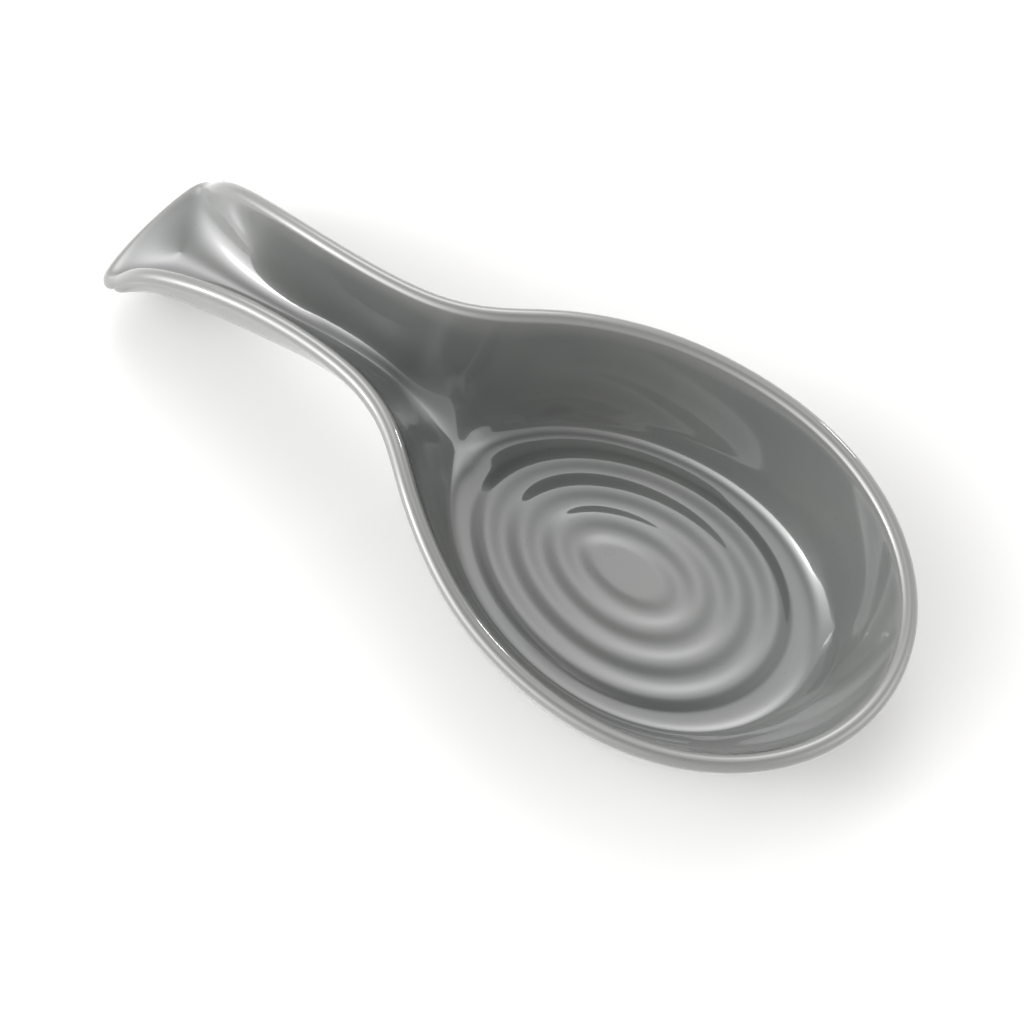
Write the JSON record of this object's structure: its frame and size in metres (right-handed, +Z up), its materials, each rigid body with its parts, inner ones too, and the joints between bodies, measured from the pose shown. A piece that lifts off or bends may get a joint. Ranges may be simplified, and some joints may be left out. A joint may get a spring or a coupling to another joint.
{
  "type": "spoon rest",
  "caption": "Glazed stoneware spoon rest: an egg-shaped bowl with a rippled floor that catches drips, and a flared, hollowed handle that carries the spoon.",
  "frame": {"origin": "on the table, under the middle of the whole rest's length and width", "axes": "+X along the rest from the handle's flared end to the bowl's front, +Z up from the table"},
  "size_m": [0.2457, 0.107, 0.0474],
  "materials": {
    "grey_glaze": "glossy mid-grey glaze, thinner and warmer over the rim, with the foot ring left bare"
  },
  "bodies": {
    "root": {"dish": "grey_glaze"}
  },
  "joints": []
}
